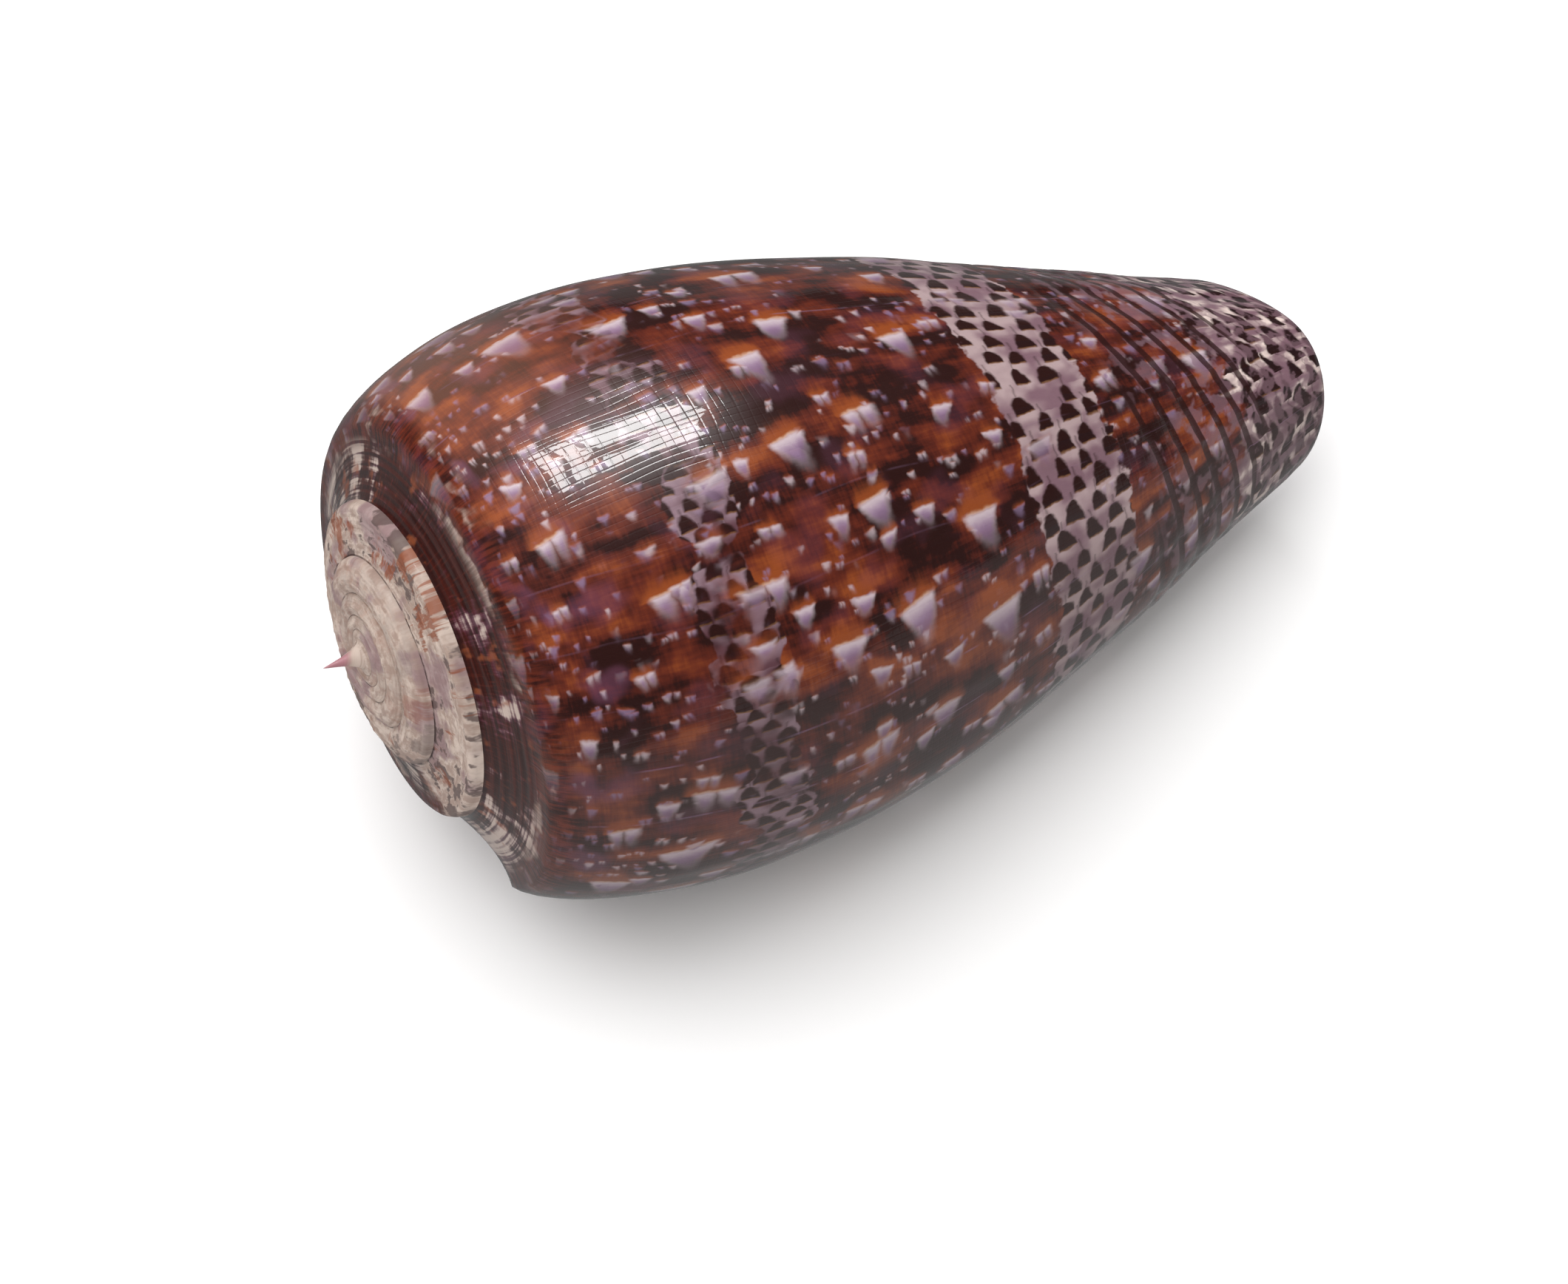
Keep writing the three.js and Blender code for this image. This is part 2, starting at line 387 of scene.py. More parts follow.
def skinTree(outer):
    # the outside with its relief: spiral cords, growth scars and low lumps, fading out at the joins
    tree, g, exit = newTree("whorlSkin", ["Angle", "Station"], radiusAlong)
    angle, t = g["Angle"], g["Station"]
    here = useTree(outer, g)
    back = useTree(outer, g, Station=most(t - 0.01, -1.0))
    front = useTree(outer, g, Station=least(t + 0.01, 1.0))
    dr, da = front[0] - back[0], front[1] - back[1]
    run = calc(tree, "SQRT", dr * dr + da * da)
    along = alongOf(t)
    spot = vector(tree, angle * g["Widest radius"], along, 0.0)
    lumps = noise(tree, vectorCalc(tree, "MULTIPLY", spot, (0.14, 0.1, 1.0)), 1.0, 1.0) - 0.5
    uneven = noise(tree, vectorCalc(tree, "MULTIPLY", spot, (0.05, 0.12, 1.0)), 1.0, 1.0) - 0.5
    turn = calc(tree, "FRACT", angle / g["Scar turn"] + uneven * 0.6)
    scar = turn * smoothRemap(turn, 1.0, 0.8)
    height = (lumps * g["Lump height"] + scar * g["Scar height"]
              - grooveOf(tree, along, angle) * g["Cord height"])
    joins = (smoothRemap(angle, 0.0, -0.3) * smoothRemap(angle, -fullTurn, 0.4 - fullTurn)
             * smoothRemap(t, stations["suture"], 0.2) * smoothRemap(t, 1.0, 0.97))
    rise = height * joins
    return finishTree(tree, exit, [here[0] + rise * da / run, here[1] - rise * dr / run])


def spireSkinTree(crest, outer):
    # the whorls of the spire: rounded where they are early, worn and uneven all over
    tree, g, exit = newTree("spireSkin", ["Angle", "Station"], radiusAlong)
    angle, t = g["Angle"], g["Station"]
    radius, height = useTree(outer, g)
    crestRadius = useTree(crest, g)[0]
    across = calc(tree, "SINE", remap(t, -1.0, 0.0) * math.pi)
    early = smoothRemap(angle, -8.0, -14.0) * smoothRemap(angle, apexAngle + 4.0, apexAngle + 8.0)
    spot = vector(tree, crestRadius * g["Worn run"], crestRadius * t, 0.0)
    worn = (noise(tree, vectorCalc(tree, "MULTIPLY", spot, (0.55, 0.9, 1.0)), 1.0, 2.0) - 0.5
            + (noise(tree, vectorCalc(tree, "MULTIPLY", spot, (2.2, 1.6, 1.0)), 1.0, 1.0) - 0.5) * 0.5)
    joins = (smoothRemap(t, -1.0, -0.85) * smoothRemap(t, stations["suture"], -0.1)
             * smoothRemap(angle, -fullTurn, -0.6 - fullTurn) * smoothRemap(crestRadius, 1.2, 3.0))
    lift = across * early * crestRadius * g["Early round"] + worn * joins * g["Worn height"]
    return finishTree(tree, exit, [radius, height - lift])


crest = crestTree()
rim = rimTree()
side = sideTree(crest, rim)
outer = outerTree(crest, side)
inner = innerTree(side, outer)
skin = skinTree(outer)
spireSkin = spireSkinTree(crest, outer)


def place(g, angle, radiusAndAlong):
    radius, along = radiusAndAlong
    tree = radius.tree
    turn = angle + g["Lip angle"]
    return vector(tree, radius * calc(tree, "COSINE", turn), radius * calc(tree, "SINE", turn), along)


def steps(value, pieces):
    # a line through (row, station) pairs, exact at each pair
    total = pieces[0][1]
    for (rowA, stationA), (rowB, stationB) in zip(pieces, pieces[1:]):
        total = remap(value, float(rowA), float(rowB), 0.0, stationB - stationA) + total
    return total


rampRow = rows["ramp"]
sutureRow = rampRow + rows["crest"]
innerRow = sutureRow + rows["edge"]
widestRow = innerRow + rows["shoulder"]
lastRow = widestRow + rows["body"]
wallRow = lastRow - innerRow
stepAngle = fullTurn / rows["turn"]
hollowSteps = round(growth["Hollow angle"] / stepAngle)
hollowEnd = -hollowSteps * stepAngle
wallStart = hollowEnd - fullTurn
apexSteps = round(spireTurns * rows["turn"])
sheets = []


def sheetGrid(tree, across, down):
    mesh = tree.nodes.new("GeometryNodeMeshGrid")
    feed(tree, across + 1, mesh.inputs["Vertices X"])
    feed(tree, down + 1, mesh.inputs["Vertices Y"])
    position = tree.nodes.new("GeometryNodeInputPosition")
    parts = tree.nodes.new("ShaderNodeSeparateXYZ")
    tree.links.new(position.outputs[0], parts.inputs[0])
    i = calc(tree, "ROUND", (nodeValue(tree, parts.outputs[0]) + 0.5) * float(across))
    j = calc(tree, "ROUND", (nodeValue(tree, parts.outputs[1]) + 0.5) * float(down))
    return mesh.outputs["Mesh"], i, j


def addSheet(tree, mesh, position, angle, station, flip=False, inside=0.0):
    store = tree.nodes.new("GeometryNodeStoreNamedAttribute")
    store.data_type = "FLOAT_VECTOR"
    store.domain = "CORNER"
    store.inputs["Name"].default_value = "growth"
    tree.links.new(mesh, store.inputs["Geometry"])
    feed(tree, vector(tree, angle, station, inside), store.inputs["Value"])
    move = tree.nodes.new("GeometryNodeSetPosition")
    tree.links.new(store.outputs[0], move.inputs["Geometry"])
    feed(tree, position, move.inputs["Position"])
    end = move.outputs[0]
    if flip:
        turn = tree.nodes.new("GeometryNodeFlipFaces")
        tree.links.new(end, turn.inputs[0])
        end = turn.outputs[0]
    sheets.append(end)


def mixPoints(tree, a, b, amount):
    return vectorCalc(tree, "ADD", a, vectorCalc(tree, "SCALE", vectorCalc(tree, "SUBTRACT", b, a),
                                                 scale=amount))


def switchPoints(tree, test, no, yes):
    node = tree.nodes.new("GeometryNodeSwitch")
    node.input_type = "VECTOR"
    feed(tree, test, node.inputs[0])
    feed(tree, no, node.inputs[1])
    feed(tree, yes, node.inputs[2])
    return nodeValue(tree, node.outputs[0])


def rimPoint(tree, g, angle, s):
    # the rounded edge between the outside, s = 0, and the hollow, s = 1
    out = place(g, angle, useTree(outer, g, Angle=angle, Station=1.0))
    into = place(g, angle, useTree(inner, g, Angle=angle, Station=1.0))
    bulge = g["Lip round"] * calc(tree, "SINE", s * math.pi)
    return vectorCalc(tree, "ADD", mixPoints(tree, out, into, s), vector(tree, 0.0, 0.0, bulge))


def shellTree():
    tree, g, exit = newTree("shellGrowth", [], {"Geometry": "NodeSocketGeometry"})
    wallSteps = [(0, stations["inner"]), (rows["shoulder"], stations["widest"]),
                 (rows["shoulder"] + rows["middle"], stations["cords"]), (wallRow, 1.0)]
    spireSteps = [(0, -1.0), (rampRow, 0.0), (sutureRow, stations["suture"])]
    allSteps = spireSteps + [(innerRow, stations["inner"]), (widestRow, stations["widest"]),
                             (widestRow + rows["middle"], stations["cords"]), (lastRow, 1.0)]

    # outside: the spire, then the last whorl
    for start, profile, across, down, pieces in (
            (apexAngle, spireSkin, apexSteps, sutureRow, spireSteps),
            (-fullTurn, skin, rows["turn"], lastRow, allSteps)):
        mesh, i, j = sheetGrid(tree, across, down)
        angle = i * stepAngle + start
        station = steps(j, pieces)
        spot = place(g, angle, useTree(profile, g, Angle=angle, Station=station))
        addSheet(tree, mesh, spot, angle, station)

    # hollow: the whorl before, and the lining of the last whorl
    for start, profile, flip in ((wallStart, outer, False), (hollowEnd, inner, True)):
        mesh, i, j = sheetGrid(tree, hollowSteps, wallRow)
        angle = i * stepAngle + start
        station = steps(j, wallSteps)
        spot = place(g, angle, useTree(profile, g, Angle=angle, Station=station))
        addSheet(tree, mesh, spot, angle, station, flip, 1.0)

    # anterior rim
    mesh, i, j = sheetGrid(tree, hollowSteps, rows["edge"])
    angle = i * stepAngle + hollowEnd
    s = j / float(rows["edge"])
    addSheet(tree, mesh, rimPoint(tree, g, angle, s), angle, 1.0, False, s)

    # lip
    mesh, i, j = sheetGrid(tree, rows["edge"], lastRow)
    s = i / float(rows["edge"])
    zero = j * 0.0
    station = steps(j, allSteps)
    nearRow = calc(tree, "ROUND", least(j / float(widestRow), 1.0) * float(rows["shoulder"]))
    liningRow = nearRow + most(j - float(widestRow), 0.0)
    out = place(g, zero, useTree(outer, g, Angle=zero, Station=station))
    into = place(g, zero, useTree(inner, g, Angle=zero, Station=steps(liningRow, wallSteps)))
    bulge = g["Lip round"] * calc(tree, "SINE", s * math.pi)
    forward = vector(tree, -1.0 * bulge * calc(tree, "SINE", g["Lip angle"]),
                     bulge * calc(tree, "COSINE", g["Lip angle"]), 0.0)
    edge = vectorCalc(tree, "ADD", mixPoints(tree, out, into, s), forward)
    attach = stations["suture"] + s * (stations["inner"] - stations["suture"])
    first = place(g, zero - fullTurn, useTree(outer, g, Angle=zero - fullTurn, Station=attach))
    edge = switchPoints(tree, calc(tree, "LESS_THAN", j, 0.5), edge, first)
    edge = switchPoints(tree, calc(tree, "GREATER_THAN", j, lastRow - 0.5), edge,
                        rimPoint(tree, g, zero, s))
    addSheet(tree, mesh, edge, zero, station, False, s)

    # anterior end, closed over the columella where there is no hollow, and coloured like the lining
    def columellaCap(mesh, point, j, angle):
        amount = j / float(rows["cap"])
        x, y, z = splitVector(tree, point)
        tip = g["Rim at"] + g["Columella rise"] - g["Back drop"] - 0.5
        closed = vector(tree, x * amount, y * amount, blend(tip, z, amount * amount))
        addSheet(tree, mesh, closed, angle, 1.0, True, (1.0 - amount) * 6.0)

    turns = rows["turn"]
    mesh, i, j = sheetGrid(tree, turns, rows["cap"])
    angle = i * stepAngle + wallStart
    columellaCap(mesh, place(g, angle, useTree(outer, g, Angle=angle, Station=1.0)), j, angle)
    mesh, i, j = sheetGrid(tree, rows["edge"], rows["cap"])
    angle = i * 0.0 + hollowEnd
    columellaCap(mesh, rimPoint(tree, g, angle, i / float(rows["edge"])), j, angle)

    # nub: its rows gather towards the tip, and the angle runs on past the apex for the pink there
    def nubCap(mesh, j, angle, station):
        amount = (j / float(rows["cap"])) ** 1.7
        x, y, z = splitVector(tree, place(g, angle, useTree(outer, g, Angle=angle, Station=station)))
        reach = calc(tree, "SQRT", x * x + y * y)
        rise = spireHeight(tree, g, reach * amount) / spireHeight(tree, g, reach)
        spot = vector(tree, x * amount, y * amount, z * rise)
        addSheet(tree, mesh, spot, blend(tipAngle, angle, amount), station)

    mesh, i, j = sheetGrid(tree, turns, rows["cap"])
    nubCap(mesh, j, i * stepAngle + apexAngle, -1.0)
    mesh, i, j = sheetGrid(tree, sutureRow, rows["cap"])
    nubCap(mesh, j, i * 0.0 + apexAngle, steps(float(sutureRow) - i, spireSteps))

    join = tree.nodes.new("GeometryNodeJoinGeometry")
    for sheet in reversed(sheets):
        tree.links.new(sheet, join.inputs[0])
    weld = tree.nodes.new("GeometryNodeMergeByDistance")
    weld.inputs["Distance"].default_value = 0.0004
    tree.links.new(join.outputs[0], weld.inputs["Geometry"])
    realize = tree.nodes.new("GeometryNodeRealizeInstances")
    tree.links.new(weld.outputs[0], realize.inputs[0])
    paint = tree.nodes.new("GeometryNodeSetMaterial")
    paint.inputs["Material"].default_value = shellMaterial
    tree.links.new(realize.outputs[0], paint.inputs["Geometry"])
    tree.links.new(paint.outputs[0], exit.inputs[0])
    return tree


def splitVector(tree, value):
    node = tree.nodes.new("ShaderNodeSeparateXYZ")
    feed(tree, value, node.inputs[0])
    return [nodeValue(tree, s) for s in node.outputs]


# the shell's pattern and glaze
pattern = {
    "tentSlope": 0.06,         # how far a tent's base slants, mm of growth per mm towards the anterior
    "wobble": 1.2,             # mm, unevenness of the lanes
    "rag": 0.24,               # mm, unevenness of edges
    "tents": (                 # mm: lane, length of a cell, width, then share, seed
        (4.3, 6.2, 2.8, 0.66, 1.0),
        (2.7, 4.4, 1.6, 0.5, 2.0),
        (1.5, 2.5, 1.0, 0.5, 3.0),
        (0.95, 1.7, 0.6, 0.46, 4.0),
        (0.8, 1.5, 0.42, 0.36, 5.0),
    ),
    # mm: middle, half width, raggedness, dot lane, radians a row, dot, two shades, patchiness
    "bands": (
        (12.4, 1.15, 5.5, 1.1, 0.12, 0.86, "bandDim", "bandSoft", 0.85),
        (32.7, 2.85, 1.6, 1.63, 0.212, 1.05, "bandLow", "bandHigh", 0.0),
    ),
    "endFrom": 44.6,           # mm, start of the whiter anterior end
    "endDots": (2.2, 0.31, 1.15, 1.3, "bandLow", "end"),  # lane, turn, dot, tallness, two shades
    "lineGap": 4.1,            # mm between the stronger growth lines
}
palette = {
    "darkest": "#2E0F0C",
    "maroon": "#45150D",
    "redBrown": "#662411",
    "orange": "#924415",
    "amber": "#BC8450",
    "lilac": "#896A8A",
    "pale": "#C8B6BC",
    "violet": "#8B7496",
    "plum": "#74405A",
    "dotBlue": "#241218",
    "bandLow": "#80606B",
    "bandHigh": "#B29A9B",
    "bandDim": "#5E3A43",
    "bandSoft": "#8F747F",
    "end": "#E6D2CA",
    "cream": "#C6B4A8",
    "bone": "#A18A7E",
    "greyPit": "#574340",
    "rust": "#8A4522",
    "pink": "#A6727A",
    "lining": "#B9A8B6",
    # painted shade, mixed in towards the lip
    "dull": "#40302E",
    # painted light, mixed in round the back of the shoulder
    "warm": "#B07C66",
}
glaze = {
    "coat": 1.0,
    "coatRoughness": 0.02,
    "roughness": 0.36,
    "wornCoat": 0.2,           # on the early whorls
    "wornRoughness": 0.55,
    "ior": 1.5,
    "reliefDepth": 0.0001,     # m
    "relief": 0.25,
}


def linear(hexCode):
    values = [int(hexCode[i:i + 2], 16) / 255 for i in (1, 3, 5)]
    return tuple(v / 12.92 if v <= 0.04045 else ((v + 0.055) / 1.055) ** 2.4 for v in values) + (1,)


def tint(name):
    return linear(palette[name])


def mixColor(tree, amount, low, high):
    node = tree.nodes.new("ShaderNodeMix")
    node.data_type = "RGBA"
    feed(tree, amount, node.inputs[0])
    feed(tree, low, node.inputs[6])
    feed(tree, high, node.inputs[7])
    return nodeValue(tree, node.outputs[2])


def chance(tree, a, b, c):
    node = tree.nodes.new("ShaderNodeTexWhiteNoise")
    node.noise_dimensions = "3D"
    feed(tree, vector(tree, a, b, c), node.inputs["Vector"])
    parts = tree.nodes.new("ShaderNodeSeparateColor")
    tree.links.new(node.outputs["Color"], parts.inputs[0])
    return [nodeValue(tree, node.outputs["Value"])] + [nodeValue(tree, s) for s in parts.outputs]


def shaderTree(name, inputs, outputs):
    tree = bpy.data.node_groups.new(name, "ShaderNodeTree")
    for label in inputs:
        tree.interface.new_socket(label, in_out="INPUT", socket_type="NodeSocketFloat")
    for label in outputs:
        tree.interface.new_socket(label, in_out="OUTPUT", socket_type="NodeSocketFloat")
    entry = tree.nodes.new("NodeGroupInput")
    given = {s.name: nodeValue(tree, s) for s in entry.outputs if s.name}
    return tree, given, tree.nodes.new("NodeGroupOutput")


def radiusAt(along):
    # mm from the axis, for a place along the profile
    above = 1.0 - remap(along, 0.0, profileRun["widest"])
    below = remap(along, profileRun["widest"], profileRun["end"])
    return 17.3 - 3.0 * above * above - 12.3 * below ** 1.6


def laneOf(tree, g, shift):
    # lanes run along the spiral; the cells of one lane lie one after another in growth
    lane = calc(tree, "FLOOR", g["Along"] / g["Lane"] + shift)
    middle = (lane + 0.5 - shift) * g["Lane"]
    return lane, middle, g["Along"] - middle


def edgeAt(value, soft):
    return smoothRemap(value, -1.0 * soft, soft)


def tentTree():
    # pale tents: each starts on a flat base and closes to a point as the shell grows
    tree, g, exit = shaderTree("tentLanes", ["Angle", "Along", "Lane", "Length", "Width", "Share",
                                             "Seed", "Soft"], ["Mask", "Shade", "Glow"])
    lane, middle, across = laneOf(tree, g, g["Seed"] * 0.371)
    start = chance(tree, lane, g["Seed"], 7.7)[0] * 50.0
    run = g["Angle"] * radiusAt(middle) / g["Length"] + start
    cell = calc(tree, "FLOOR", run)
    lucky, a, b, c = chance(tree, lane, cell, g["Seed"])
    other = calc(tree, "FRACT", a * 9.7)
    twin = calc(tree, "GREATER_THAN", b, 0.72)
    width = g["Width"] * (0.6 + 0.4 * a)
    height = (width * (1.0 + 0.35 * other) + 0.22) * (1.0 - 0.25 * twin)
    glowRun = 0.55 * g["Width"]
    spare = most(g["Length"] - height - glowRun, 0.0)
    slope = pattern["tentSlope"] + (other - 0.5) * 0.3
    into = (run - cell) * g["Length"] + slope * across - glowRun - spare * c
    part = least(most(into / height, 0.0), 1.0)
    aside = across - (c - 0.5) * most(g["Lane"] - width, 0.0) * 0.8 - (other - 0.5) * 0.3 * into
    sideways = calc(tree, "ABSOLUTE", aside)
    pair = calc(tree, "ABSOLUTE", aside - 0.1 * width)
    folded = blend(sideways, calc(tree, "ABSOLUTE", pair - 0.25 * width), twin)
    half = width * (0.5 - 0.25 * twin) * (1.0 - part) ** 1.15
    on = calc(tree, "LESS_THAN", lucky, g["Share"])
    blur = g["Soft"] * (1.0 + 1.6 * part)
    mask = (edgeAt(half - folded, blur) * edgeAt(into, g["Soft"])
            * smoothRemap(part, 1.0, 0.2, 0.0, 1.0))
    under = smoothRemap(sideways, 0.85 * width, 0.3 * width)
    glow = under * least(calc(tree, "EXPONENT", into / (0.3 * g["Width"])), 1.0) * remap(into, 0.2, 0.0)
    return finishTree(tree, exit, [mask * on, part, glow * on])


def dotTree():
    # dark dots in staggered rows: rounded where growth began, flat where it ended
    tree, g, exit = shaderTree("dotLanes", ["Angle", "Along", "Lane", "Turn", "Size", "Tall",
                                            "Stagger", "Soft"], ["Mask", "Shade", "Rim", "After"])
    lane, middle, across = laneOf(tree, g, g["Stagger"])
    length = g["Turn"] * radiusAt(middle)
    run = g["Angle"] / g["Turn"] + g["Stagger"]
    cell = calc(tree, "FLOOR", run)
    lucky, a, b, c = chance(tree, lane, cell, g["Stagger"] + 5.5)
    other = calc(tree, "FRACT", a * 9.7)
    width = g["Size"] * (0.78 + 0.4 * a)
    height = g["Size"] * g["Tall"] * (0.85 + 0.4 * b)
    aside = calc(tree, "ABSOLUTE", across - (other - 0.5) * 0.3 * g["Size"])
    into = (run - cell - 0.22) * length + (c - 0.5) * 0.3 * g["Size"]
    part = least(most(into / height, 0.0), 1.0)
    half = 0.5 * width * calc(tree, "SQRT", part * (2.0 - part))
    on = calc(tree, "LESS_THAN", lucky, 0.95)
    blur = g["Soft"] * (2.2 - 1.2 * part)
    beside = edgeAt(half - aside, blur)
    mask = beside * edgeAt(height - into, g["Soft"])
    rim = (edgeAt(0.45 * width - aside, g["Soft"])
           * remap(calc(tree, "ABSOLUTE", into - height + 0.03), 0.09, 0.03))
    after = smoothRemap(aside, 0.75 * width, 0.3 * width) * smoothRemap(into - height, 0.8, 0.0)
    return finishTree(tree, exit, [mask * on, part, rim * on, after * edgeAt(into - height, 0.05)])


tents = tentTree()
dots = dotTree()


def useShaderTree(inner, **values):
    tree = next(v.tree for v in values.values() if isinstance(v, nodeValue))
    node = tree.nodes.new("ShaderNodeGroup")
    node.node_tree = inner
    for label, value in values.items():
        feed(tree, value, node.inputs[label])
    return [nodeValue(tree, s) for s in node.outputs]


def together(values):
    total = values[0]
    for value in values[1:]:
        total = most(total, value)
    return total


def makeShellMaterial():
    material = bpy.data.materials.new("shellPorcelain")
    material.use_nodes = True
    tree = material.node_tree
    shader = tree.nodes["Principled BSDF"]
    attribute = tree.nodes.new("ShaderNodeAttribute")
    attribute.attribute_name = "growth"
    angle, station, inside = splitVector(tree, nodeValue(tree, attribute.outputs["Vector"]))
    along = alongOf(station)

    # places in mm: round the body, and round the spire, whose whorls shrink towards the apex
    crestHere = growth["Crest radius"] * calc(tree, "POWER", growth["Crest growth"], angle / fullTurn)
    body = vector(tree, angle * bodyRun, along, 0.0)
    spire = vector(tree, crestHere * fullTurn / math.log(growth["Crest growth"]),
                   crestHere * station * 0.34, 0.0)

    # soft noise about 0.5, stretched along growth and across it; every use has a seed of its own
    def field(scale, seed, detail=2.0, stretch=(1.0, 1.0), roughness=0.5, spot=body):
        place = vectorCalc(tree, "MULTIPLY_ADD", spot, (stretch[0], stretch[1], 1.0),
                           (seed * 7.3, seed * 3.1, seed * 1.7))
        return noise(tree, place, scale, detail, roughness)

    # uneven lanes and ragged edges
    wobble, rag = pattern["wobble"], pattern["rag"]
    v = along + (field(0.25, 1.0, 1.0) - 0.5) * wobble + (field(2.2, 2.0, 1.0) - 0.5) * rag
    q = angle + ((field(0.25, 3.0, 1.0) - 0.5) * wobble + (field(2.2, 4.0, 1.0) - 0.5) * rag) / 15.0
    sheared = v - cords["slope"] * q

    # tents in five sizes; the small ones come in swarms
    swarm = smoothRemap(field(0.17, 5.0), 0.42, 0.54)
    specks = smoothRemap(field(0.2, 6.0), 0.42, 0.52)
    layers = []
    crowds = (1.0, 1.0, swarm, specks, specks)
    for (lane, length, width, share, seed), crowd in zip(pattern["tents"], crowds):
        mask, shade, glow = useShaderTree(tents, Angle=q, Along=v, Lane=lane, Length=length,
                                          Width=width, Share=share, Seed=seed,
                                          Soft=0.06 + 0.05 * width)
        layers.append((mask * crowd, shade * mask * crowd, glow * crowd * min(1.0, 0.35 + 0.3 * width)))
    large = together([layer[0] for layer in layers[:2]])
    small = together([layer[0] for layer in layers[2:]])
    shade = together([layer[1] for layer in layers[:3]])
    glow = together([layer[2] for layer in layers])

    # brown ground: dark clouds and orange clouds, woven through with fine lines
    cloud = field(0.55, 8.0, 3.0, (0.85, 0.5), 0.5)
    weave = ((field(1.0, 7.0, 1.0, (6.0, 0.6)) - 0.5) * 0.09
             + (field(1.0, 9.0, 1.0, (0.8, 6.0)) - 0.5) * 0.13)
    tone = cloud + weave + glow * 0.12
    ground = mixColor(tree, smoothRemap(tone, 0.41, 0.49), tint("darkest"), tint("maroon"))
    ground = mixColor(tree, smoothRemap(tone, 0.44, 0.6), ground, tint("redBrown"))
    ground = mixColor(tree, smoothRemap(tone, 0.55, 0.75), ground, tint("orange"))
    toShoulder = smoothRemap(along, 11.0, 2.0, 0.15, 0.65)
    ground = mixColor(tree, smoothRemap(field(0.3, 10.0), 0.5, 0.66) * toShoulder, ground, tint("plum"))
    ground = mixColor(tree, smoothRemap(glow + weave, 0.12, 0.7) * 0.9, ground, tint("orange"))
    ground = mixColor(tree, smoothRemap(glow, 0.75, 1.0) * 0.85, ground, tint("amber"))

    tentShade = mixColor(tree, smoothRemap(shade, 0.0, 0.4), tint("pale"), tint("lilac"))
    speckShade = mixColor(tree, smoothRemap(field(0.5, 17.0), 0.45, 0.6), tint("violet"), tint("pale"))
    color = mixColor(tree, small * 0.68, ground, speckShade)
    color = mixColor(tree, large, color, tentShade)

    # two bands of dots on lilac, and larger ones at the whiter anterior end
    def dotted(color, here, angleIn, alongIn, lane, turn, size, tall, low, high):
        twoRows = [useShaderTree(dots, Angle=angleIn, Along=alongIn, Lane=lane, Turn=turn, Size=size,
                                 Tall=tall, Stagger=stagger, Soft=0.05 + 0.02 * tall)
                   for stagger in (0.0, 0.5)]
        mask, part, rim, after = [together(pair) for pair in zip(*twoRows)]
        light = field(0.4, 13.0) + after * 0.12
        under = mixColor(tree, smoothRemap(light, 0.4, 0.68), tint(low), tint(high))
        dark = mixColor(tree, part, tint("dotBlue"), tint("darkest"))
        spotted = mixColor(tree, rim * 0.25, mixColor(tree, mask, under, dark), tint("amber"))
        return mixColor(tree, here, color, spotted)

    for middle, half, ragged, lane, turn, size, low, high, patchy in pattern["bands"]:
        away = calc(tree, "ABSOLUTE", v - middle)
        reach = half + (field(0.35, 11.0) - 0.5) * ragged + (field(1.2, 18.0) - 0.5) * 1.2
        here = edgeAt(reach - away, 0.12) * (1.0 - large * 0.7)
        here = here * blend(1.0, smoothRemap(field(0.42, 34.0), 0.36, 0.56), patchy)
        color = dotted(color, here, q, v, lane, turn, size, 1.0, low, high)
    end = edgeAt(v + (field(0.4, 12.0) - 0.5) * 5.0 - pattern["endFrom"], 0.3)
    looser = (field(0.3, 31.0, 1.0) - 0.5) * 1.3
    color = dotted(color, end, q + looser * 0.06, sheared + looser, *pattern["endDots"])

    # spiral cords near the anterior end: paler streaks along them, dark grooves between
    streaks = field(0.5, 35.0, 2.0, (1.0, 2.0)) + smoothRemap(along, 37.0, 43.0, 0.0, 0.06)
    color = mixColor(tree, smoothRemap(streaks, 0.52, 0.62) * smoothRemap(along, 36.5, 39.0) * 0.6,
                     color, tint("bandLow"))
    groove = grooveOf(tree, along, angle)
    color = mixColor(tree, smoothRemap(groove, 0.25, 0.6) * 0.85, color, tint("darkest"))

    # painted shade: duller and greyer towards the lip; painted light: warmer and paler round the back of
    # the shoulder
    # painted shade: the side near the lip is pulled towards a dull grey brown, as if less light reached it
    dull = smoothRemap(angle, -1.4, -1.05) * smoothRemap(angle, -6.0, -5.0) * 0.38
    color = mixColor(tree, dull, color, tint("dull"))
    # painted light: the back of the shoulder is pulled towards a warm pale pink, as if lit more strongly
    warm = (smoothRemap(angle, -2.1, -2.9) * smoothRemap(angle, -4.8, -3.8)
            * smoothRemap(along, 15.0, 8.0) * smoothRemap(along, 1.0, 4.0) * 0.27)
    color = mixColor(tree, warm, color, tint("warm"))

    # growth lines: thin, a little paler, broken
    lineGap = pattern["lineGap"]
    lineAt = angle * bodyRun / lineGap + (field(0.3, 14.0, 1.0, (0.15, 0.4)) - 0.5) * 0.35
    lineRow = calc(tree, "FLOOR", lineAt)
    lineHere = calc(tree, "ABSOLUTE", lineAt - lineRow - 0.5) * lineGap
    lineLucky = chance(tree, lineRow, 2.0, 9.0)[0]
    line = (smoothRemap(lineHere, 0.1, 0.02) * remap(lineLucky, 0.3, 0.8)
            * smoothRemap(field(0.6, 15.0), 0.4, 0.6))
    color = mixColor(tree, line * 0.3, color, tint("lilac"))

